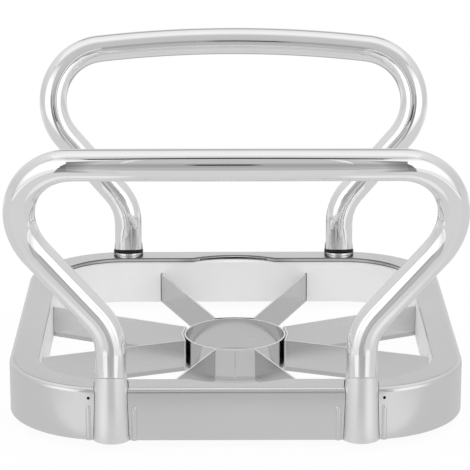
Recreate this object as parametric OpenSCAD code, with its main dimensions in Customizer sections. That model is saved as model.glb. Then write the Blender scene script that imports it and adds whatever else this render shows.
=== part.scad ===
// Hand-pressed wedge cutter for potatoes: a pressed frame, radial blades round a core ring, two tube handles.
// Millimetres. The origin is under the middle of the frame, on the board that the core ring stands on. +Z is up,
// +X runs along the handles, and the front handle lies towards -Y.

/* [Frame] */
// Width of the pressed frame, along the handles
frame_w = 149; // [136:1:170]
// Depth of the pressed frame, from front to rear
frame_d = 156; // [144:1:180]
// Height of the frame, from its foot to the top of its flange
frame_h = 17.2; // [16:0.1:24]
// Corner radius of the frame, seen from above
corner_r = 34; // [26:1:42]
// Width of the flat flange on top
flange_w = 9.6; // [9:0.1:11]
// Thickness of the pressed sheet
sheet_t = 0.8; // [0.6:0.1:1.2]
// Width of the sheet that is folded back under the flange's inner edge
hem_w = 1.4; // [1:0.1:1.8]
// Outer radius of the fold between flange and skirt
edge_r = 1.7; // [1.5:0.1:2.6]
// Width of the shallow notch in the front and rear flange
notch_w = 31; // [16:1:40]
// Depth of that notch
notch_depth = 4; // [1:0.5:4.5]
// Distance between the two pressed ribs beside a socket
rib_gap = 14.5; // [14:0.1:16]
// Radius of a rib
rib_r = 0.9; // [0.7:0.1:1.2]
// Depth of a rib's axis behind the skirt's outer face
rib_sink = 0.3; // [0:0.05:0.4]
// Height of the ribs above the frame's foot
rib_h = 11.6; // [8:0.1:13]
// Diameter of the small opening above the outer rib
vent_d = 1; // [0.8:0.1:2]
// Height of that opening above the rib
vent_lift = 2.4; // [2:0.1:3]

/* [Blade carrier] */
// Thickness of the carrier's upright wall
wall_t = 1.5; // [1:0.1:1.6]
// Distance of the wall behind the flange's inner edge
wall_back = 0.2; // [0:0.1:0.5]
// Height of the wall's foot above the frame's foot
wall_lift = 0; // [0:0.1:1.5]
// Thickness of the carrier's floor and of its top ledge
floor_t = 1.6; // [1.2:0.1:2.4]
// Width of the top ledge under the flange, with the wall
ledge_w = 4.6; // [3:0.1:5]

/* [Blades] */
// Angle between the two blades of the front strip and of the rear strip
pair_angle = 43; // [40:1:48]
// Thickness of the blade strip
blade_t = 0.5; // [0.4:0.05:0.8]
// Height of the blade strip
blade_h = 11.1; // [8:0.1:12]
// Depth of the cutting edges below the frame's foot, at the carrier's wall
blade_drop = 0.1; // [0:0.1:0.6]
// How much lower the strips lie at the core ring than at the wall
blade_dip = 1; // [0:0.1:1.2]
// Height of the ground bevel above the cutting edge
bevel_h = 1.6; // [0.8:0.1:2.5]
// Thickness left at the cutting edge
edge_t = 0.1; // [0.06:0.02:0.2]
// Thickness of the strip's folds, in strip thicknesses
fold_swell = 1.5; // [1.4:0.05:1.7]
// Thickness of its crease, in strip thicknesses
crease_swell = 1.25; // [1.15:0.05:1.5]
// Length of the hook behind the carrier's wall
hook_l = 4; // [2:0.5:5]
// Outer diameter of the core ring
core_d = 35.2; // [24:0.2:42]
// Thickness of the core ring
core_t = 0.6; // [0.4:0.1:1]
// Height of the core ring
core_h = 12.3; // [10:0.1:14]
// Depth of the ring's cutting edge below the frame's foot
core_drop = 2.4; // [1.4:0.1:3]
// Thickness left at the ring's cutting edge
core_edge_t = 0.3; // [0.2:0.05:0.4]
// Distance of the strips' folds outside the ring
fold_off = 1.3; // [1.3:0.1:2.2]
// Distance of their creases outside the ring
crease_off = 0.7; // [0.6:0.1:1.2]

/* [Handles] */
// Outer diameter of the handle tube
tube_d = 10; // [8:0.5:10.5]
// Wall of the handle tube
tube_t = 1; // [0.8:0.1:1.5]
// Distance of the legs' axes inside the frame's left and right faces
leg_side = 34.8; // [31:0.1:38]
// Distance of the legs' axes inside the skirt's outer face
leg_inset = 2.4; // [2:0.1:2.6]
// Distance of the bowed bar's ends inside the frame's left and right faces
bar_inset = 24.2; // [20:0.1:27]
// Height of the bar's ends above the flange, on the tube's axis
bar_rise = 75.8; // [68:0.1:84]
// Angle of the slanting necks from upright
neck_angle = 41; // [36:1:44]
// Outward lean of the necks
neck_lean = 3.5; // [0:0.5:12]
// Bend radius between leg and neck, on the tube's axis
lower_bend_r = 17.5; // [12:0.5:20]
// Bend radius between neck and bar, on the tube's axis
corner_bend_r = 20; // [15:0.5:22]
// Turn of the bar from its middle to its ends
bar_turn = 15; // [4:0.5:20]
// Angle of the plane in which the bar is bowed, above level
bar_plane = 14; // [0:1:30]

/* [Sockets and seals] */
// Outer diameter of a socket at its foot
socket_foot_d = 12.2; // [11.6:0.1:13]
// Outer diameter of a socket at its top
socket_top_d = 10.8; // [10.7:0.1:11.4]
// Height of a socket's top above the flange, on its outer side
socket_rise = 4.6; // [3:0.1:6]
// Slope of a socket's top, down towards the frame's middle
socket_slope = 18; // [0:1:25]
// Thickness of the lip under a leg
lip_t = 1.6; // [1.2:0.1:2]
// Diameter of that lip
lip_d = 12.4; // [12.4:0.1:13.6]
// Height of a seal's underside above the flange, beside the leg
seal_lift = 0.4; // [0.3:0.1:0.8]
// Slope of that underside, up towards the frame's middle
seal_slope = 7; // [0:1:10]
// Height of a seal beside the leg
seal_h = 0.9; // [0.5:0.1:1.5]
// How much higher a seal is towards the frame's middle
seal_swell = 0.35; // [0:0.05:0.8]
// Thickness of a seal round the tube
seal_t = 0.4; // [0.3:0.05:0.6]

/* [Fastening] */
// Diameter of the leg screws
screw_d = 4; // [3:0.5:5]
// Diameter of their countersunk heads
head_d = 7.2; // [6.4:0.1:8]
// Height of their countersunk heads
head_h = 1.9; // [1.5:0.1:2.4]
// Length of a screw under the board side of its head
screw_l = 12; // [9:0.5:14]
// Length of the threaded plug in a leg
plug_l = 10; // [8:0.5:14]

/* [Clearances] */
// Gap between pieces that slide together at assembly
fit_gap = 0.1; // [0.05:0.05:0.2]
// Gap round a blade in its slot
slot_gap = 0.15; // [0.1:0.05:0.3]

/* [Hidden] */
$fn = 72;
cut = 1;
SIDES = ["front", "rear"];
HANDS = ["left", "right"];

// Plan of the frame
inner_w = frame_w / 2 - flange_w;
inner_d = frame_d / 2 - flange_w;
notch_r = (notch_w * notch_w / 4 + notch_depth * notch_depth) / (2 * notch_depth);
// Inset of the carrier wall's two faces from the skirt's outer face
wall_in = flange_w - wall_back;
wall_out = wall_in - wall_t;
hem_foot = frame_h - 2 * sheet_t;
carrier_top = hem_foot - fit_gap;
floor_top = lip_t + floor_t;
// Legs and sockets
tube_r = tube_d / 2;
leg_x = frame_w / 2 - leg_side;
leg_y = frame_d / 2 - leg_inset;
socket_h = frame_h + socket_rise;
skirt_back = leg_inset - sheet_t;
wall_behind = wall_out - leg_inset;
seal_top_slope = atan(tan(seal_slope) + seal_swell / tube_r);
// Blade strips
pair_half = pair_angle / 2;
side_half = 45 - pair_half;
core_r = core_d / 2;
fold_d = fold_swell * blade_t;
fold_r = core_r + fold_off;
crease_r = core_r + crease_off;
hook_back = wall_out - 2 * slot_gap - fold_d / 2;
blade_top = blade_h - blade_drop;
// Bend table of the right half of the front handle
bar_half = frame_w / 2 - bar_inset;
UP = [0, 0, 1];
NECK = [sin(neck_angle), -cos(neck_angle) * sin(neck_lean), cos(neck_angle) * cos(neck_lean)];
BAR = [-cos(bar_turn), -sin(bar_turn) * cos(bar_plane), sin(bar_turn) * sin(bar_plane)];
BAR_END = [BAR[0], -BAR[1], -BAR[2]];
LEG_SEAM = [1, 0, 0];
NECK_SEAM = carried(LEG_SEAM, UP, NECK);
BAR_SEAM = carried(NECK_SEAM, NECK, BAR);
joint_step = 0.05;
joint_lap = 0.4;
lower_shift = bend_shift(UP, NECK, lower_bend_r);
corner_shift = bend_shift(NECK, BAR, corner_bend_r);
neck_l = (bar_half - leg_x - lower_shift[0] - corner_shift[0]) / NECK[0];
leg_top = frame_h + bar_rise - lower_shift[2] - neck_l * NECK[2] - corner_shift[2];
bend_start = [leg_x, -leg_y, leg_top];
neck_start = bend_start + lower_shift;
corner_start = neck_start + neck_l * NECK;
bar_start = corner_start + corner_shift;
bar_r = bar_half / sin(bar_turn);

function unit(v) = v / norm(v);
// How far the skirt has turned back at the distance x from the frame's middle plane
function skirt_turn(x) = let (past = max(0, x - frame_w / 2 + corner_r))
    corner_r - sqrt(corner_r * corner_r - past * past);
// Way from the start of a tube bend to its end
function bend_shift(from, to, r) = r * tan(acos(from * to) / 2) * (from + to);
// Side of the tube that a bend carries on from a side given at its start
function carried(side, from, to) = side - (side * to) / (1 + from * to) * (from + to);

// Sweeps a section round the frame's plan; the section lies inward of x = 0, the skirt's outer face.
module round_frame() {
    for (q = [0:3]) {
        across = q % 2 == 0 ? frame_w : frame_d;
        along = q % 2 == 0 ? frame_d : frame_w;
        rotate(90 * q) {
            translate([across / 2, along / 2 - corner_r, 0])
                rotate([90, 0, 0])
                    linear_extrude(along - 2 * corner_r)
                        children();
            translate([across / 2 - corner_r, along / 2 - corner_r, 0])
                rotate_extrude(angle = 90)
                    translate([corner_r, 0])
                        children();
        }
    }
}

// Block left of x = 0 whose upper right corner is rounded
module rounded_block(w, h, r) {
    translate([-w, 0])
        square([w, h - r]);
    translate([-w, 0])
        square([w - r, h]);
    translate([-r, h - r])
        circle(r);
}

// Stands its children at one leg, whose outer side is then towards -Y and whose nearer corner is towards +X
module at_leg(side, hand) {
    mirror([hand == "left" ? 1 : 0, 0, 0])
        mirror([0, side == "front" ? 0 : 1, 0])
            translate([leg_x, -leg_y, 0])
                children();
}

module at_legs() {
    for (side = SIDES, hand = HANDS)
        at_leg(side, hand)
            children();
}

// Block that covers everything behind the plane y = edge at a leg, between two heights
module behind(edge, foot, top) {
    translate([-lip_d, edge, foot])
        cube([2 * lip_d, 2 * lip_d, top - foot]);
}

// Block at a leg above or below a plane that has the height level on the leg's axis and slopes along Y
module above(level, slope) {
    translate([-lip_d, 0, level])
        rotate([slope, 0, 0])
            translate([0, -2 * lip_d, 0])
                cube([2 * lip_d, 4 * lip_d, 2 * lip_d]);
}

module below(level, slope) {
    translate([-lip_d, 0, level])
        rotate([slope, 0, 0])
            translate([0, -2 * lip_d, -2 * lip_d])
                cube([2 * lip_d, 4 * lip_d, 2 * lip_d]);
}

// Outside of a socket, grown by a gap: the tapered sleeve and the lip under it
module socket_outside(gap) {
    cylinder(d1 = socket_foot_d + 2 * gap, d2 = socket_top_d + 2 * gap, h = socket_h);
    translate([0, 0, -gap])
        cylinder(d = lip_d + 2 * gap, h = lip_t + 2 * gap);
}

// Leg screw with its countersunk head, grown by a gap
module screw_body(gap, length) {
    cylinder(d1 = head_d + 2 * gap, d2 = screw_d + 2 * gap, h = head_h);
    cylinder(d = screw_d + 2 * gap, h = length);
}

// Places its children beside a leg, on the skirt's outer face, at the distance x towards the nearer corner
module on_skirt(x) {
    translate([x, skirt_turn(leg_x + x) - leg_inset, 0])
        children();
}

// Rib pressed out of the skirt, with a round top
module rib() {
    difference() {
        translate([0, rib_sink, 0]) {
            cylinder(r = rib_r, h = rib_h - rib_r);
            translate([0, 0, rib_h - rib_r])
                sphere(rib_r);
        }
        translate([-2 * rib_r, sheet_t / 2, -cut])
            cube([4 * rib_r, 4 * rib_r, rib_h + 2 * cut]);
    }
}

module frame() {
    color("silver")
        difference() {
            union() {
                round_frame() {
                    difference() {
                        rounded_block(flange_w, frame_h, edge_r);
                        translate([-sheet_t, -cut])
                            rounded_block(flange_w, frame_h - sheet_t + cut, edge_r - sheet_t);
                    }
                    translate([-flange_w, hem_foot])
                        square([hem_w, frame_h - sheet_t / 2 - hem_foot]);
                }
                at_legs()
                    for (s = [-1, 1])
                        on_skirt(s * rib_gap / 2)
                            rib();
            }
            for (s = [-1, 1])
                translate([0, s * (inner_d + notch_depth - notch_r), hem_foot - cut])
                    cylinder(r = notch_r, h = 2 * sheet_t + 2 * cut, $fn = 160);
            at_legs() {
                socket_outside(fit_gap);
                on_skirt(rib_gap / 2)
                    translate([0, sheet_t + cut, rib_h + vent_lift])
                        rotate([90, 0, 0])
                            cylinder(d = vent_d, h = sheet_t + 2 * cut);
            }
        }
}

module blade_carrier() {
    color("whitesmoke")
        difference() {
            union() {
                round_frame() {
                    translate([-wall_in, wall_lift])
                        square([wall_t, carrier_top - wall_lift]);
                    translate([-wall_in, carrier_top - floor_t])
                        square([ledge_w, floor_t]);
                    translate([-wall_in, lip_t])
                        square([wall_in - sheet_t - fit_gap, floor_t]);
                }
                at_legs()
                    translate([0, 0, lip_t])
                        cylinder(r = tube_r, h = floor_t);
            }
            for (q = [0:3])
                rotate(90 * q) {
                    if (q % 2 == 0)
                        strip_slot(frame_w / 2, side_half);
                    else
                        strip_slot(frame_d / 2, pair_half);
                }
            at_legs() {
                translate([0, 0, floor_top])
                    cylinder(r = tube_r + 2 * fit_gap, h = frame_h);
                screw_body(fit_gap, frame_h);
            }
        }
}

// Upright section of a blade strip, ground to an edge from both sides
module blade_section() {
    polygon([[-edge_t / 2, 0], [edge_t / 2, 0], [blade_t / 2, bevel_h],
             [blade_t / 2, blade_h], [-blade_t / 2, blade_h], [-blade_t / 2, bevel_h]]);
}

// Course of one strip along +X: hook, blade, fold, crease, fold, blade, hook. Its blades stand at the angle
// spread on both sides of +X, and its folds and crease lie lower by dip.
function strip_path(reach, spread, dip) = [
    [reach, -reach * tan(spread) - hook_l, 0],
    [reach, -reach * tan(spread), 0],
    [fold_r * cos(spread), -fold_r * sin(spread), -dip],
    [crease_r, 0, -dip],
    [fold_r * cos(spread), fold_r * sin(spread), -dip],
    [reach, reach * tan(spread), 0],
    [reach, reach * tan(spread) + hook_l, 0]
];

// One straight run of a strip between two points of its course
module strip_run(from, to) {
    way = to - from;
    translate(from)
        rotate([0, -asin(way[2] / norm(way)), atan2(way[1], way[0])])
            rotate([90, 0, 90])
                linear_extrude(norm(way))
                    children();
}

// Strip whose ends hook behind the carrier's wall, the frame's outer face being at the distance half
module blade_strip(half, spread) {
    path = strip_path(half - hook_back, spread, blade_dip);
    color("lightgray")
        translate([0, 0, -blade_drop]) {
            for (i = [1:len(path) - 1])
                strip_run(path[i - 1], path[i])
                    blade_section();
            for (i = [1:len(path) - 2])
                translate(path[i] + [0, 0, bevel_h / 2])
                    cylinder(d = i == 3 ? crease_swell * blade_t : fold_d, h = blade_h - bevel_h / 2);
        }
}

// Slots that a strip's two ends slide into from below
module strip_slot(half, spread) {
    path = strip_path(half - hook_back, spread, 0);
    slot_w = blade_t + 2 * slot_gap;
    slot_h = blade_top + slot_gap + cut;
    translate([0, 0, -cut])
        for (end = [0, 4]) {
            for (i = [end, end + 1, end + 2])
                translate(path[i])
                    cylinder(d = fold_d + 2 * slot_gap, h = slot_h);
            for (i = [end + 1, end + 2])
                strip_run(path[i - 1], path[i])
                    translate([-slot_w / 2, 0])
                        square([slot_w, slot_h]);
        }
}

module front_blades() {
    rotate(-90)
        blade_strip(frame_d / 2, pair_half);
}

module right_blades() {
    blade_strip(frame_w / 2, side_half);
}

module rear_blades() {
    rotate(90)
        blade_strip(frame_d / 2, pair_half);
}

module left_blades() {
    rotate(180)
        blade_strip(frame_w / 2, side_half);
}

module core_ring() {
    color("lightgray")
        translate([0, 0, -core_drop])
            rotate_extrude($fn = 120)
                polygon([[core_r - core_t, bevel_h], [core_r - core_edge_t, 0], [core_r, 0],
                         [core_r, core_h], [core_r - core_t, core_h]]);
}

// Places its children at a point, with their Z along a direction and their X along another at right angles to it
module placed(start, x, z) {
    y = cross(z, x);
    multmatrix([[x[0], y[0], z[0], start[0]],
                [x[1], y[1], z[1], start[1]],
                [x[2], y[2], z[2], start[2]],
                [0, 0, 0, 1]])
        children();
}

// Straight stretch of round bar from a point along a direction; its seam lies on the side given
module straight(start, way, seam, length, r) {
    placed(start, seam, way)
        cylinder(r = r, h = length);
}

// Round bar bent from one direction to another, from a point on, and carried on by lap at both ends
module bend(start, from, to, seam, bend_r, r, lap = 0) {
    axis = unit(cross(from, to));
    out = cross(from, axis);
    lap_turn = lap / bend_r * 180 / PI;
    placed(start - bend_r * out, out, axis)
        rotate(-lap_turn)
            rotate_extrude(angle = acos(from * to) + 2 * lap_turn)
                translate([bend_r, 0])
                    rotate(atan2(seam * axis, seam * out))
                        circle(r);
}

// Front handle as round bar, its legs going down to the height foot. Legs, necks and bar are a hair slimmer
// than the bends and run a little way into them, so that each joint has one clean edge.
module handle_bar(r, foot) {
    slim = r - joint_step;
    for (m = [0, 1])
        mirror([m, 0, 0]) {
            straight([leg_x, -leg_y, foot], UP, LEG_SEAM, leg_top - foot + joint_lap, slim);
            bend(bend_start, UP, NECK, LEG_SEAM, lower_bend_r, r);
            straight(neck_start - joint_lap * NECK, NECK, NECK_SEAM, neck_l + 2 * joint_lap, slim);
            bend(corner_start, NECK, BAR, NECK_SEAM, corner_bend_r, r);
        }
    bend(bar_start, BAR, BAR_END, BAR_SEAM, bar_r, slim, joint_lap);
}

module front_handle() {
    color("gainsboro")
        difference() {
            handle_bar(tube_r, floor_top);
            handle_bar(tube_r - tube_t, floor_top - cut);
        }
}

module rear_handle() {
    mirror([0, 1, 0])
        front_handle();
}

// Half-round sleeve outside the skirt, cut off aslant at its top. It closes to a ring in the flange, and the lip
// under it carries the leg.
module socket() {
    color("silver")
        difference() {
            socket_outside(0);
            translate([0, 0, lip_t])
                cylinder(r = tube_r + fit_gap, h = socket_h);
            behind(-skirt_back, lip_t, frame_h - sheet_t);
            behind(-skirt_back, frame_h, socket_h + cut);
            behind(wall_behind - 2 * fit_gap, -cut, floor_top);
            translate([0, -socket_top_d / 2, 0])
                above(socket_h, -socket_slope);
            screw_body(fit_gap, socket_h);
        }
}

// Rubber seal on the inner side of a leg, above the flange
module seal() {
    color("black")
        difference() {
            rotate_extrude()
                translate([tube_r + fit_gap, frame_h])
                    square([seal_t, tube_d]);
            above(frame_h + seal_lift + seal_h, seal_top_slope);
            below(frame_h + seal_lift, seal_slope);
            rotate(180)
                behind(skirt_back - fit_gap, frame_h - cut, frame_h + tube_d + cut);
        }
}

// Threaded plug pressed into the foot of a leg
module plug() {
    color("gray")
        translate([0, 0, floor_top])
            difference() {
                cylinder(r = tube_r - tube_t - fit_gap / 2, h = plug_l);
                translate([0, 0, -cut])
                    cylinder(d = screw_d, h = plug_l + 2 * cut);
            }
}

module leg_screws() {
    slot = screw_d / 4;
    color("dimgray")
        at_legs()
            difference() {
                screw_body(-fit_gap / 2, screw_l);
                for (a = [0, 90])
                    rotate(a)
                        translate([-head_d / 4, -slot / 2, -cut])
                            cube([head_d / 2, slot, head_h / 2 + cut]);
            }
}

// The frame's foot lies above the board by as much as the ring's edge reaches below it
translate([0, 0, core_drop]) {
    frame();
    blade_carrier();
    core_ring();
    front_blades();
    right_blades();
    rear_blades();
    left_blades();
    front_handle();
    rear_handle();
    for (side = SIDES, hand = HANDS) {
        leg = str(side, "_", hand);
        at_leg(side, hand) socket();
        at_leg(side, hand) seal();
        at_leg(side, hand) plug();
    }
    leg_screws();
}
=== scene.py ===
import math

import bpy
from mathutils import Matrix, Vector


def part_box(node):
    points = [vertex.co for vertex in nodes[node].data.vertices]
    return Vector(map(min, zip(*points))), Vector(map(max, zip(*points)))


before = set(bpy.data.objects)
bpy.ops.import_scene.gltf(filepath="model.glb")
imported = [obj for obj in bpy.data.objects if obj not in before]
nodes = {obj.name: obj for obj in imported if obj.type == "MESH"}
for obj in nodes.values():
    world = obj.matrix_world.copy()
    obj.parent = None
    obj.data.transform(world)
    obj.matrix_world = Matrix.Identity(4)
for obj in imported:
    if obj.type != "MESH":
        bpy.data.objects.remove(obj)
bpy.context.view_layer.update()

MM = 0.001
LEGS = ["front_left", "front_right", "rear_left", "rear_right"]

# Heights that the materials follow, from the frame
FLANGE_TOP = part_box("frame")[1][2]
EDGE_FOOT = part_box("blade_carrier")[1][2]
SEAL_LOW, SEAL_HIGH = (point[2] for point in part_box("rear_left_seal"))
LEG_Y = (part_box("rear_left_plug")[0][1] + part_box("rear_left_plug")[1][1]) / 2
# Slope of the painted sheen line round a seal, and its half width
SEAL_LEAN = 0.16
SHEEN_LINE_HALF = 0.16 * MM
# Radius round the axis inside which a strip is web and not blade
WEB_R = 19.3 * MM

# Camera at the photograph's place: a long lens a little above the handles, looking at the frame's front
IMAGE = 470
FOCAL_PX = 2408.0
SENSOR_MM = 36.0
AIM = Vector((0.0, 0.0, FLANGE_TOP + 34.66 * MM))
DISTANCE = 827.5 * MM
PITCH = math.radians(15.49)
YAW = math.radians(0.35)
CENTRE_PX = (234.9, 217.54)
NEAR_CLIP = 0.05


def make_camera():
    lens = bpy.data.cameras.new("camera")
    lens.sensor_fit = "HORIZONTAL"
    lens.sensor_width = SENSOR_MM
    lens.lens = FOCAL_PX * SENSOR_MM / IMAGE
    lens.shift_x = (IMAGE / 2 - CENTRE_PX[0]) / IMAGE
    lens.shift_y = (CENTRE_PX[1] - IMAGE / 2) / IMAGE
    lens.clip_start = NEAR_CLIP
    camera = bpy.data.objects.new("camera", lens)
    level = DISTANCE * math.cos(PITCH)
    away = Vector((-level * math.sin(YAW), -level * math.cos(YAW), DISTANCE * math.sin(PITCH)))
    camera.location = AIM + away
    camera.rotation_euler = (math.radians(90) - PITCH, 0.0, -YAW)
    bpy.context.scene.collection.objects.link(camera)
    bpy.context.scene.camera = camera


# Helpers for shader trees
def new_tree(material):
    material.use_nodes = True
    tree = material.node_tree
    tree.nodes.clear()
    return tree


def add(tree, kind, x=0, y=0, **values):
    node = tree.nodes.new(kind)
    node.location = (x, y)
    for name, value in values.items():
        setattr(node, name, value)
    return node


def feed(tree, socket, value):
    """Links an output to a socket, or sets the socket's own value."""
    if isinstance(value, bpy.types.NodeSocket):
        tree.links.new(value, socket)
    else:
        socket.default_value = value


def grey(level):
    return (level, level, level, 1.0)


def maths(tree, operation, first, second, x=0, y=0):
    node = add(tree, "ShaderNodeMath", x, y, operation=operation)
    feed(tree, node.inputs[0], first)
    feed(tree, node.inputs[1], second)
    return node.outputs[0]


def blend_value(tree, share, low, high, x=0, y=0):
    node = add(tree, "ShaderNodeMix", x, y, data_type="FLOAT")
    feed(tree, node.inputs[0], share)
    feed(tree, node.inputs[2], low)
    feed(tree, node.inputs[3], high)
    return node.outputs[0]


def blend_colour(tree, share, low, high, x=0, y=0):
    node = add(tree, "ShaderNodeMix", x, y, data_type="RGBA")
    feed(tree, node.inputs[0], share)
    feed(tree, node.inputs[6], low)
    feed(tree, node.inputs[7], high)
    return node.outputs[2]


def new_group(name, inputs, outputs):
    """Node group with float or vector inputs and float outputs; gives its tree, input node and output node."""
    tree = bpy.data.node_groups.new(name, "ShaderNodeTree")
    for label, kind in inputs:
        tree.interface.new_socket(label, in_out="INPUT", socket_type=kind)
    for label in outputs:
        tree.interface.new_socket(label, in_out="OUTPUT", socket_type="NodeSocketFloat")
    return tree, add(tree, "NodeGroupInput", -900, 0), add(tree, "NodeGroupOutput", 700, 0)


def grain_group():
    """Noise from 0 to 1 over the object's own coordinates, stretched by a vector of features per metre."""
    tree, given, out = new_group("grain", [("Stretch", "NodeSocketVector")], ["Value"])
    place = add(tree, "ShaderNodeTexCoord", -900, 200)
    stretch = add(tree, "ShaderNodeVectorMath", -600, 0, operation="MULTIPLY")
    tree.links.new(place.outputs["Object"], stretch.inputs[0])
    tree.links.new(given.outputs["Stretch"], stretch.inputs[1])
    noise = add(tree, "ShaderNodeTexNoise", -300, 0)
    noise.inputs["Scale"].default_value = 1.0
    noise.inputs["Detail"].default_value = 3.0
    tree.links.new(stretch.outputs[0], noise.inputs["Vector"])
    spread = add(tree, "ShaderNodeMapRange", 200, 0)
    spread.inputs["From Min"].default_value = 0.3
    spread.inputs["From Max"].default_value = 0.7
    tree.links.new(noise.outputs[0], spread.inputs["Value"])
    tree.links.new(spread.outputs[0], out.inputs["Value"])
    return tree


def band_group():
    """1 between two heights above the board, 0 outside them, with soft borders."""
    sockets = [(label, "NodeSocketFloat") for label in ("Low", "High", "Border")]
    tree, given, out = new_group("height_band", sockets, ["Value"])
    place = add(tree, "ShaderNodeTexCoord", -900, 200)
    split = add(tree, "ShaderNodeSeparateXYZ", -700, 200)
    tree.links.new(place.outputs["Object"], split.inputs[0])
    over = maths(tree, "SUBTRACT", split.outputs["Z"], given.outputs["Low"], -400, 200)
    under = maths(tree, "SUBTRACT", given.outputs["High"], split.outputs["Z"], -400, 0)
    inside = maths(tree, "MINIMUM", over, under, -200, 100)
    soft = maths(tree, "DIVIDE", inside, given.outputs["Border"], 0, 100)
    lifted = add(tree, "ShaderNodeMath", 200, 100, operation="ADD", use_clamp=True)
    tree.links.new(soft, lifted.inputs[0])
    lifted.inputs[1].default_value = 0.5
    tree.links.new(lifted.outputs[0], out.inputs["Value"])
    return tree


# Limits of a face's upward share, and of its outward share times the distance from the axis
UP_FROM = 0.7
LEANING_BELOW = -0.05
INWARD_BELOW = -5 * MM


def facing_group():
    """Masks of the faces that look up, that lean down, and that look towards the middle of the part."""
    tree, given, out = new_group("facing", [], ["Up", "Leaning", "Inward"])
    shape = add(tree, "ShaderNodeNewGeometry", -700, 0)
    split = add(tree, "ShaderNodeSeparateXYZ", -500, 100)
    tree.links.new(shape.outputs["Normal"], split.inputs[0])
    place = add(tree, "ShaderNodeTexCoord", -700, -200)
    level = add(tree, "ShaderNodeVectorMath", -500, -200, operation="MULTIPLY")
    level.inputs[1].default_value = (1.0, 1.0, 0.0)
    tree.links.new(place.outputs["Object"], level.inputs[0])
    along = add(tree, "ShaderNodeVectorMath", -300, -200, operation="DOT_PRODUCT")
    tree.links.new(level.outputs[0], along.inputs[0])
    tree.links.new(shape.outputs["Normal"], along.inputs[1])
    up = maths(tree, "GREATER_THAN", split.outputs["Z"], UP_FROM, 0, 200)
    leaning = maths(tree, "LESS_THAN", split.outputs["Z"], LEANING_BELOW, 0, 0)
    inward = maths(tree, "LESS_THAN", along.outputs["Value"], INWARD_BELOW, 0, -200)
    tree.links.new(up, out.inputs["Up"])
    tree.links.new(leaning, out.inputs["Leaning"])
    tree.links.new(inward, out.inputs["Inward"])
    return tree


GRAIN = grain_group()
BAND = band_group()
FACING = facing_group()


def use_group(tree, group, x=0, y=0, **values):
    node = add(tree, "ShaderNodeGroup", x, y, node_tree=group)
    for label, value in values.items():
        feed(tree, node.inputs[label], value)
    return node


def grain(tree, stretch, x=-900, y=0):
    return use_group(tree, GRAIN, x, y, Stretch=stretch).outputs["Value"]


def band(tree, low, high, border, x=-900, y=0):
    return use_group(tree, BAND, x, y, Low=low, High=high, Border=border).outputs["Value"]


def surface(name, colour, roughness, metallic, bump=None, bump_depth=0.0, specular=0.5):
    """Principled material; colour, roughness and bump are functions of the tree that give a socket."""
    material = bpy.data.materials.new(name)
    tree = new_tree(material)
    out = add(tree, "ShaderNodeOutputMaterial", 500, 0)
    shader = add(tree, "ShaderNodeBsdfPrincipled", 200, 0)
    feed(tree, shader.inputs["Base Color"], colour(tree))
    feed(tree, shader.inputs["Roughness"], roughness(tree))
    shader.inputs["Metallic"].default_value = metallic
    shader.inputs["Specular IOR Level"].default_value = specular
    if bump:
        relief = add(tree, "ShaderNodeBump", -100, -300)
        relief.inputs["Strength"].default_value = 1.0
        relief.inputs["Distance"].default_value = bump_depth
        feed(tree, relief.inputs["Height"], bump(tree))
        tree.links.new(relief.outputs[0], shader.inputs["Normal"])
    tree.links.new(shader.outputs[0], out.inputs[0])
    return material


# Studio: white surroundings, a white floor that ends in front of the part, and cards that only reflections show
def seen_directly(tree):
    """1 for camera, glossy and transmission rays, 0 for the rays that carry soft light."""
    path = add(tree, "ShaderNodeLightPath", -900, 300)
    camera, glossy = path.outputs["Is Camera Ray"], path.outputs["Is Glossy Ray"]
    either = maths(tree, "MAXIMUM", camera, glossy, -700, 300)
    return maths(tree, "MAXIMUM", either, path.outputs["Is Transmission Ray"], -520, 300)


def make_world():
    world = bpy.data.worlds.new("studio")
    bpy.context.scene.world = world
    world.use_nodes = True
    tree = world.node_tree
    tree.nodes.clear()
    out = add(tree, "ShaderNodeOutputWorld", 200, 0)
    soft = add(tree, "ShaderNodeBackground", -200, -100)
    soft.inputs["Color"].default_value = grey(0.95)
    soft.inputs["Strength"].default_value = 0.95
    white = add(tree, "ShaderNodeBackground", -200, 100)
    white.inputs["Color"].default_value = grey(1.0)
    white.inputs["Strength"].default_value = 1.0
    mix = add(tree, "ShaderNodeMixShader", 0, 0)
    tree.links.new(seen_directly(tree), mix.inputs[0])
    tree.links.new(soft.outputs[0], mix.inputs[1])
    tree.links.new(white.outputs[0], mix.inputs[2])
    tree.links.new(mix.outputs[0], out.inputs[0])


# Share of plain white in what the floor shows; the rest keeps the part's soft shadow
FLOOR_WHITE = 0.94
FLOOR_FRONT = -0.125
FLOOR_HALF = 3.0
FLOOR_SINK = 0.2 * MM


def floor_paper():
    material = bpy.data.materials.new("floor_paper")
    tree = new_tree(material)
    out = add(tree, "ShaderNodeOutputMaterial", 400, 0)
    paper = add(tree, "ShaderNodeBsdfPrincipled", -200, -100)
    paper.inputs["Base Color"].default_value = grey(0.9)
    paper.inputs["Roughness"].default_value = 0.9
    paper.inputs["Specular IOR Level"].default_value = 0.1
    white = add(tree, "ShaderNodeEmission", -200, 150)
    white.inputs["Color"].default_value = grey(1.0)
    white.inputs["Strength"].default_value = 1.0
    mix = add(tree, "ShaderNodeMixShader", 150, 0)
    share = maths(tree, "MULTIPLY", seen_directly(tree), FLOOR_WHITE, -300, 300)
    tree.links.new(share, mix.inputs[0])
    tree.links.new(paper.outputs[0], mix.inputs[1])
    tree.links.new(white.outputs[0], mix.inputs[2])
    tree.links.new(mix.outputs[0], out.inputs[0])
    return material


def add_plane(name, middle, size, turn):
    bpy.ops.object.select_all(action="DESELECT")
    bpy.ops.mesh.primitive_plane_add(size=1.0)
    plane = bpy.context.object
    plane.name = name
    plane.scale = (size[0], size[1], 1.0)
    plane.rotation_euler = turn
    plane.location = middle
    bpy.ops.object.transform_apply(location=True, rotation=True, scale=True)
    return plane


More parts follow.
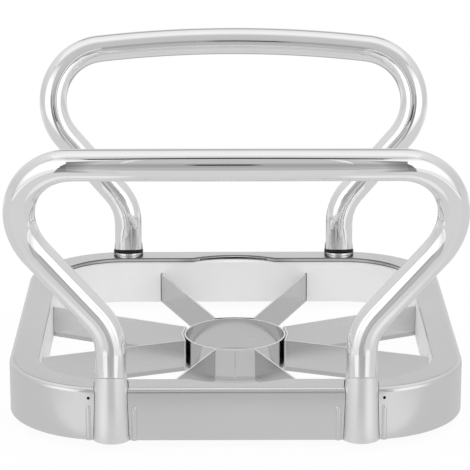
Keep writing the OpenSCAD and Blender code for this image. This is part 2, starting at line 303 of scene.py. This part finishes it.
def make_floor():
    depth = FLOOR_HALF - FLOOR_FRONT
    middle = (0.0, FLOOR_FRONT + depth / 2, -FLOOR_SINK)
    floor = add_plane("floor", middle, (2 * FLOOR_HALF, depth), (0.0, 0.0, 0.0))
    floor.data.materials.append(floor_paper())


def tone_curve(tree, value, stops, x, y):
    """Value of a curve through stops of (place, tone), straight between them."""
    first, last = stops[0][0], stops[-1][0]
    share = add(tree, "ShaderNodeMapRange", x, y)
    share.inputs["From Min"].default_value = first
    share.inputs["From Max"].default_value = last
    tree.links.new(value, share.inputs["Value"])
    ramp = add(tree, "ShaderNodeFloatCurve", x + 200, y)
    ramp.mapping.use_clip = False
    points = ramp.mapping.curves[0].points
    points[0].location = (0.0, stops[0][1])
    points[1].location = (1.0, stops[-1][1])
    for at, tone in stops[1:-1]:
        points.new((at - first) / (last - first), tone)
    for point in points:
        point.handle_type = "VECTOR"
    ramp.mapping.update()
    tree.links.new(share.outputs[0], ramp.inputs["Value"])
    return ramp.outputs[0]


def card_paint(name, source, axis, stops, cross_axis=None, cross_stops=None, rear_only=False):
    """Light of a card. Its tone follows stops along one axis of Object or UV, times those of a second axis.
    A card of which only the rear face shows is clear from its front."""
    material = bpy.data.materials.new(name)
    tree = new_tree(material)
    out = add(tree, "ShaderNodeOutputMaterial", 700, 0)
    place = add(tree, "ShaderNodeTexCoord", -700, 0)
    split = add(tree, "ShaderNodeSeparateXYZ", -500, 0)
    tree.links.new(place.outputs[source], split.inputs[0])
    tone = tone_curve(tree, split.outputs[axis], stops, -300, 0)
    if cross_axis:
        across = tone_curve(tree, split.outputs[cross_axis], cross_stops, -300, -300)
        tone = maths(tree, "MULTIPLY", tone, across, 200, 0)
    glow = add(tree, "ShaderNodeEmission", 450, 0)
    tree.links.new(tone, glow.inputs["Color"])
    shown = glow
    if rear_only:
        side = add(tree, "ShaderNodeNewGeometry", 200, 300)
        clear = add(tree, "ShaderNodeBsdfTransparent", 450, 150)
        shown = add(tree, "ShaderNodeMixShader", 600, 0)
        tree.links.new(side.outputs["Backfacing"], shown.inputs[0])
        tree.links.new(clear.outputs[0], shown.inputs[1])
        tree.links.new(glow.outputs[0], shown.inputs[2])
    tree.links.new(shown.outputs[0], out.inputs[0])
    return material


def reflected_only(card):
    card.visible_camera = False
    card.visible_diffuse = False
    card.visible_transmission = False
    card.visible_shadow = False


def upright_card(name, middle, turn, half_width, bottom, top, *paint):
    """Upright card round a point of the plan, turned about the vertical; a turn of 0 faces the front."""
    place = (middle[0], middle[1], (bottom + top) / 2)
    size = (2 * half_width, top - bottom)
    card = add_plane(name, place, size, (math.radians(90), 0.0, math.radians(turn)))
    card.data.materials.append(card_paint(name, *paint))
    reflected_only(card)


def level_card(name, z, sides, front, back, axis, stops, tilt=0):
    """Level card between two values of X and two of Y, then tilted about its middle line along X."""
    left, right = sides
    place = ((left + right) / 2, (front + back) / 2, z)
    card = add_plane(name, place, (right - left, back - front), (math.radians(tilt), 0.0, 0.0))
    card.data.materials.append(card_paint(name, "Object", axis, stops))
    reflected_only(card)


def soft_lamp(name, place, size, power):
    lamp = bpy.data.lights.new(name, "AREA")
    lamp.shape = "RECTANGLE"
    lamp.size, lamp.size_y = size
    lamp.energy = power
    box = bpy.data.objects.new(name, lamp)
    box.location = place
    box.rotation_euler = (AIM - Vector(place)).to_track_quat("-Z", "Y").to_euler()
    box.visible_glossy = False
    bpy.context.scene.collection.objects.link(box)


make_camera()
make_world()
make_floor()
soft_lamp("top_lamp", place=(0.1, -0.3, 1.6), size=(1.4, 1.2), power=7.0)

# The room that the bright metal mirrors: a dim front round the camera, white panels beside it, grey walls
ROOM = 1.7
CEILING = 2.2
PIT = -0.55
FLOOR_CARD_Z = -0.1 * MM
GLOW_Z = -0.05 * MM
DARK = 0.03
FLOOR_TONE = 0.66
PIT_TONE = 0.68
REAR_FLOOR_FRONT = 0.16
REAR_FLOOR_BACK = 0.7

# Tones of the upright cards, as (height, tone)
FRONT_TONES = [
    (PIT, 0.68), (-0.37, 0.66), (-0.33, 0.42), (-0.28, 0.42), (-0.24, 0.50), (-0.08, 0.50), (0.05, 0.42),
    (0.20, 0.38), (0.36, 0.38), (0.50, 0.44), (0.65, 0.56), (CEILING, 0.58)]
WING_TONES = [
    (0.012, 0.64), (0.065, 0.64), (0.071, 0.56), (0.077, 0.46), (0.087, 0.50), (0.093, 0.44), (0.102, 0.40),
    (0.112, 0.38), (0.119, 0.42), (0.129, 0.56), (0.18, 0.58)]
FRONT_WALL_TONES = [(PIT, 0.62), (0.0, 0.62), (CEILING, 0.72)]
SIDE_WALL_TONES = [(PIT, 0.62), (0.0, 0.62), (CEILING, 0.80)]
BACK_WALL_TONES = [(PIT, 0.73), (0.75, 0.73), (1.4, 0.74), (CEILING, 0.82)]
BACK_CARD_GAP = 0.05
BACK_CARD_HALF = 0.6
BACK_CARD_TONES = [(0.75, 0.50), (0.9, 0.42), (1.4, 0.42), (1.7, 0.60)]

# Dim card in front, and the dark one round the camera, whose tones run from left to right, as (place, tone)
FRONT_Y = -1.1
FRONT_HALF = 0.50
CAMERA_X = -0.035
CAMERA_Y = -0.9
CAMERA_HALF = 0.13
CAMERA_FOOT = 0.225
CAMERA_TOP = 0.36
CAMERA_TONES = [(-0.165, 0.40), (-0.115, DARK), (0.045, DARK), (0.095, 0.40)]

# Tones of the level cards, as (place, tone): the ceiling from front to back, the rear floor from left to right,
# and the glow beside the front legs as shares of its width
CEILING_TONES = [
    (-ROOM, 0.58), (-0.89, 0.60), (-0.55, 0.78), (-0.23, 0.92), (0.0, 0.95), (0.8, 0.90), (ROOM, 0.82)]
REAR_FLOOR_TONES = [
    (-0.5, 0.68), (-0.35, 0.78), (-0.10, 0.78), (-0.07, 0.42), (0.07, 0.42), (0.10, 0.78), (0.35, 0.78),
    (0.5, 0.68)]
GLOW_TONES = [(0.0, 0.70), (0.15, 0.86), (0.4, 0.84), (1.0, 0.66)]
GLOW_NEAR = 0.048
GLOW_FAR = 0.12
GLOW_BACK = -0.086

# Dark strip over the front bar. It is tilted so that the rear handle sees it edge on.
STRIP_Z = FLANGE_TOP + 0.128
STRIP_HALF = 0.075
STRIP_FRONT = -0.1314
STRIP_BACK = -0.1186
STRIP_TILT = -18

# White panels: their tone from the camera's side outwards and from the foot up, as shares. The low bright band
# is what the upright legs mirror.
PANEL_TURN = 52
PANEL_AWAY = 1.35
PANEL_HALF = 0.72
PANEL_TOP = 1.6
PANEL_FADE = [(0.0, 1.18), (0.75, 1.18), (0.92, 0.82), (1.0, 0.64)]
PANEL_RISE = [
    (0.0, 0.60), (0.012, 0.66), (0.028, 0.82), (0.056, 0.82), (0.085, 0.66), (0.34, 1.0), (0.60, 1.0),
    (1.0, 0.60)]

# Wings close to the bends of the front handle, with a dark outer edge. They are clear from the front, so that
# the necks on the other side don't show them.
WING_PLACE = (0.097, -0.174)
WING_TURN = 30.0
WING_HALF = 0.041
WING_FOOT, WING_TOP = WING_TONES[0][0], WING_TONES[-1][0]
WING_EDGE = [(0.060, 1.0), (0.084, 1.0), (0.100, 0.62), (0.112, 0.42), (0.134, 0.36)]


def even(tone):
    return [(-1.0, tone), (1.0, tone)]


def make_side(side, hand):
    """Panel, wing, glow and wall of one side; hand is -1 for the left and 1 for the right."""
    turn = math.radians(hand * PANEL_TURN)
    middle = (PANEL_AWAY * math.sin(turn), -PANEL_AWAY * math.cos(turn))
    fade = PANEL_FADE if hand > 0 else [(1.0 - at, tone) for at, tone in reversed(PANEL_FADE)]
    upright_card(side + "_panel", middle, hand * PANEL_TURN, PANEL_HALF, PIT, PANEL_TOP,
                 "UV", "X", fade, "Y", PANEL_RISE)
    edge = sorted((hand * at, tone) for at, tone in WING_EDGE)
    upright_card(side + "_wing", (hand * WING_PLACE[0], WING_PLACE[1]), -hand * WING_TURN, WING_HALF,
                 WING_FOOT, WING_TOP, "Object", "Z", WING_TONES, "X", edge, True)
    near, far = hand * GLOW_NEAR, hand * GLOW_FAR
    glow = sorted((near + (far - near) * share, tone) for share, tone in GLOW_TONES)
    level_card(side + "_glow", GLOW_Z, sorted([near, far]), FLOOR_FRONT, GLOW_BACK, "X", glow)
    upright_card(side + "_wall", (hand * ROOM, 0.0), 90, ROOM, PIT, CEILING, "Object", "Z", SIDE_WALL_TONES)


upright_card("front_card", (0.0, FRONT_Y), 0, FRONT_HALF, PIT, CEILING, "Object", "Z", FRONT_TONES)
upright_card("camera_card", (CAMERA_X, CAMERA_Y), 0, CAMERA_HALF, CAMERA_FOOT, CAMERA_TOP,
             "Object", "X", CAMERA_TONES)
level_card("near_strip", STRIP_Z, (-STRIP_HALF, STRIP_HALF), STRIP_FRONT, STRIP_BACK,
           "X", even(DARK), STRIP_TILT)
make_side("left", -1)
make_side("right", 1)
upright_card("front_wall", (0.0, -ROOM), 0, ROOM, PIT, CEILING, "Object", "Z", FRONT_WALL_TONES)
upright_card("back_wall", (0.0, ROOM), 0, ROOM, PIT, CEILING, "Object", "Z", BACK_WALL_TONES)
upright_card("back_card", (0.0, ROOM - BACK_CARD_GAP), 0, BACK_CARD_HALF, BACK_CARD_TONES[0][0],
             BACK_CARD_TONES[-1][0], "Object", "Z", BACK_CARD_TONES)
level_card("ceiling", CEILING, (-ROOM, ROOM), -ROOM, ROOM, "Y", CEILING_TONES)
level_card("floor_card", FLOOR_CARD_Z, (-ROOM, ROOM), FLOOR_FRONT, ROOM, "Y", even(FLOOR_TONE))
level_card("rear_floor_card", GLOW_Z, (REAR_FLOOR_TONES[0][0], REAR_FLOOR_TONES[-1][0]),
           REAR_FLOOR_FRONT, REAR_FLOOR_BACK, "X", REAR_FLOOR_TONES)
level_card("low_card", PIT, (-ROOM, ROOM), -ROOM, FLOOR_FRONT, "Y", even(PIT_TONE))


# Materials of the part
# Tone and soft border of the painted shade on the flange's inner edge
EDGE_SHADE_TONE = 0.30
EDGE_SHADE_BORDER = 0.15 * MM


def satin_steel():
    """Brushed sheet, with painted shade on the flange's folded inner edge: a painted dark reflection along its
    top and a painted shadow at its foot.
    """
    def colour(tree):
        cloud = grain(tree, (30.0, 30.0, 30.0), -900, 400)
        brushed = grain(tree, (25.0, 25.0, 2500.0), -900, 250)
        finish = blend_value(tree, 0.35, cloud, brushed, -700, 300)
        sheet = blend_colour(tree, finish, grey(0.76), grey(0.80), -500, 300)
        inward = use_group(tree, FACING, -900, 100).outputs["Inward"]
        # Painted shade: a dark reflection at the top of the inward faces and a shadow where they meet the
        # carrier's top
        top_dark_reflection = band(tree, FLANGE_TOP - 0.5 * MM, FLANGE_TOP + 1 * MM, EDGE_SHADE_BORDER, -900, -50)
        foot_shadow = band(tree, EDGE_FOOT - 1 * MM, EDGE_FOOT + 0.45 * MM, EDGE_SHADE_BORDER, -900, -200)
        lines = maths(tree, "MULTIPLY", maths(tree, "ADD", top_dark_reflection, foot_shadow, -700, -100), inward, -500, 0)
        return blend_colour(tree, lines, sheet, grey(EDGE_SHADE_TONE), -250, 200)

    def roughness(tree):
        brushed = grain(tree, (40.0, 40.0, 2200.0), -900, -400)
        return blend_value(tree, brushed, 0.21, 0.25, -500, -400)

    def bump(tree):
        return grain(tree, (120.0, 120.0, 1800.0), -900, -600)

    return surface("satin_steel", colour, roughness, 1.0, bump, 0.0004 * MM)


def white_plastic():
    def colour(tree):
        return blend_colour(tree, grain(tree, (70.0, 70.0, 70.0)), grey(0.93), grey(0.96), -500, 0)

    def roughness(tree):
        return blend_value(tree, grain(tree, (900.0, 900.0, 900.0), -900, -200), 0.42, 0.52, -500, -200)

    def bump(tree):
        return grain(tree, (1500.0, 1500.0, 1500.0), -900, -500)

    return surface("white_plastic", colour, roughness, 0.0, bump, 0.004 * MM)


def blade_steel(name, tone, web_lit_tone, gloss):
    """Rolled strip steel with a ground bevel, and a near-white top edge that is a painted highlight.
    Inside WEB_R of the axis it takes a second tone, painted light where the web shows lighter than the blade."""
    line_depth = 0.04
    # Tone and roughness of the ground bevel, and the near-white painted highlight and roughness of the top edge
    bevel_tone, top_highlight_tone = 0.62, 0.96
    bevel_roughness, top_roughness = 0.36, 0.55

    def colour(tree):
        lines = grain(tree, (60.0, 60.0, 4000.0), -1100, 500)
        place = add(tree, "ShaderNodeTexCoord", -1500, 250)
        level = add(tree, "ShaderNodeVectorMath", -1300, 250, operation="MULTIPLY")
        level.inputs[1].default_value = (1.0, 1.0, 0.0)
        tree.links.new(place.outputs["Object"], level.inputs[0])
        radius = add(tree, "ShaderNodeVectorMath", -1100, 250, operation="LENGTH")
        tree.links.new(level.outputs[0], radius.inputs[0])
        web = maths(tree, "LESS_THAN", radius.outputs["Value"], WEB_R, -900, 250)
        base = blend_value(tree, web, tone, web_lit_tone, -700, 250)
        value = maths(tree, "MULTIPLY_ADD", lines, line_depth, -500, 400)
        tree.links.new(base, value.node.inputs[2])
        facing = use_group(tree, FACING, -900, 0)
        ground = blend_colour(tree, facing.outputs["Leaning"], value, grey(bevel_tone), -300, 200)
        # Faces that look up take the painted highlight
        return blend_colour(tree, facing.outputs["Up"], ground, grey(top_highlight_tone), -100, 200)

    def roughness(tree):
        lines = grain(tree, (60.0, 60.0, 5000.0), -900, -300)
        rolled = blend_value(tree, lines, gloss, gloss + 0.05, -600, -300)
        facing = use_group(tree, FACING, -900, -550)
        ground = blend_value(tree, facing.outputs["Leaning"], rolled, bevel_roughness, -350, -300)
        return blend_value(tree, facing.outputs["Up"], ground, top_roughness, -100, -300)

    return surface(name, colour, roughness, 1.0)


def chrome():
    def colour(tree):
        return blend_colour(tree, grain(tree, (60.0, 60.0, 60.0)), grey(0.92), grey(0.95), -500, 0)

    def roughness(tree):
        haze = grain(tree, (110.0, 110.0, 110.0), -900, -200)
        dust = grain(tree, (2500.0, 2500.0, 2500.0), -900, -400)
        return blend_value(tree, maths(tree, "MULTIPLY", haze, dust, -700, -300), 0.04, 0.07, -500, -300)

    return surface("chrome", colour, roughness, 1.0)


def socket_metal():
    def colour(tree):
        drawn = blend_colour(tree, grain(tree, (250.0, 250.0, 40.0)), grey(0.87), grey(0.91), -500, 0)
        # The faces that look up get a near-white colour: a painted highlight on the socket's top
        up = use_group(tree, FACING, -900, 200).outputs["Up"]
        return blend_colour(tree, up, drawn, grey(0.97), -250, 100)

    def roughness(tree):
        drawn = blend_value(tree, grain(tree, (400.0, 400.0, 60.0), -900, -200), 0.30, 0.36, -500, -200)
        up = use_group(tree, FACING, -900, -400).outputs["Up"]
        return blend_value(tree, up, drawn, 0.60, -250, -200)

    return surface("socket_metal", colour, roughness, 1.0)


def black_rubber():
    def colour(tree):
        skin = blend_colour(tree, grain(tree, (900.0, 900.0, 900.0)), grey(0.004), grey(0.008), -500, 0)
        place = add(tree, "ShaderNodeTexCoord", -1500, -200)
        split = add(tree, "ShaderNodeSeparateXYZ", -1300, -200)
        tree.links.new(place.outputs["Object"], split.inputs[0])
        away = maths(tree, "ABSOLUTE", split.outputs["Y"], 0.0, -1100, -200)
        outward = maths(tree, "SUBTRACT", away, LEG_Y, -950, -200)
        lean = maths(tree, "MULTIPLY", outward, SEAL_LEAN, -800, -200)
        height = maths(tree, "ADD", split.outputs["Z"], lean, -650, -200)
        # A lighter line round the seal: a painted sheen
        painted_sheen = add(tree, "ShaderNodeMath", -500, -200, operation="COMPARE")
        tree.links.new(height, painted_sheen.inputs[0])
        painted_sheen.inputs[1].default_value = (SEAL_LOW + SEAL_HIGH) / 2 - SEAL_LEAN * 2 * MM
        painted_sheen.inputs[2].default_value = SHEEN_LINE_HALF
        return blend_colour(tree, painted_sheen.outputs[0], skin, grey(0.03), -250, 0)

    def roughness(tree):
        return blend_value(tree, grain(tree, (1500.0, 1500.0, 1500.0), -900, -350), 0.35, 0.45, -500, -350)

    return surface("black_rubber", colour, roughness, 0.0, specular=0.12)


def plain_steel():
    def colour(tree):
        return blend_colour(tree, grain(tree, (300.0, 300.0, 300.0)), grey(0.50), grey(0.60), -500, 0)

    def roughness(tree):
        return blend_value(tree, grain(tree, (1600.0, 1600.0, 1600.0), -900, -200), 0.30, 0.42, -500, -200)

    return surface("plain_steel", colour, roughness, 1.0)


def dress(names, material):
    for name in names:
        mesh = nodes[name].data
        mesh.materials.clear()
        mesh.materials.append(material)


dress(["frame"], satin_steel())
dress(["blade_carrier"], white_plastic())
# The front and rear strips take a darker tone than the side strips, and their webs a lighter one: painted shade
# and painted light on one strip steel
dress(["front_blades", "rear_blades"], blade_steel("blade_steel", 0.58, 0.72, 0.20))
dress(["left_blades", "right_blades"], blade_steel("side_blade_steel", 0.77, 0.77, 0.20))
dress(["core_ring"], blade_steel("ring_steel", 0.71, 0.71, 0.09))
dress(["front_handle", "rear_handle"], chrome())
dress([leg + "_socket" for leg in LEGS], socket_metal())
dress([leg + "_seal" for leg in LEGS], black_rubber())
dress([leg + "_plug" for leg in LEGS] + ["leg_screws"], plain_steel())

bpy.context.scene.view_settings.view_transform = "Standard"
